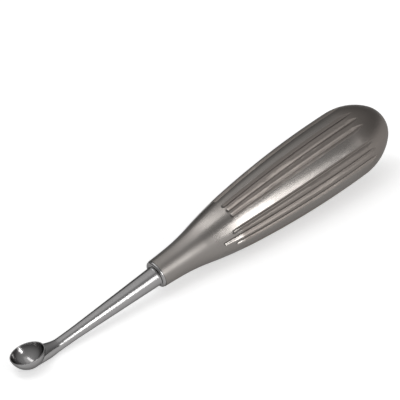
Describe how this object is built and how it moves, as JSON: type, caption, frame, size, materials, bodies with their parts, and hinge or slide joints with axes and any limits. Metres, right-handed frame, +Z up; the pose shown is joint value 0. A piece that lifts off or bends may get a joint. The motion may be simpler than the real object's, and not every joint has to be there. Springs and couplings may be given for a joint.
{
  "type": "bone curette",
  "caption": "Steel bone curette with a round sharp-rimmed cup on a tapered shaft, set in a hollow teardrop handle with groups of flutes.",
  "frame": {"origin": "centre of the bounding box's bottom face, on the level that the curette lies on", "axes": "+X from the cup to the butt of the handle, +Z up out of the cup's opening, Y across the cup"},
  "size_m": [0.1686, 0.0264, 0.0286],
  "materials": {
    "satin_handle": "satin",
    "polished_blade": "polished"
  },
  "bodies": {
    "root": {"hollow_handle": "satin_handle", "curette_blade": "polished_blade"}
  },
  "joints": []
}
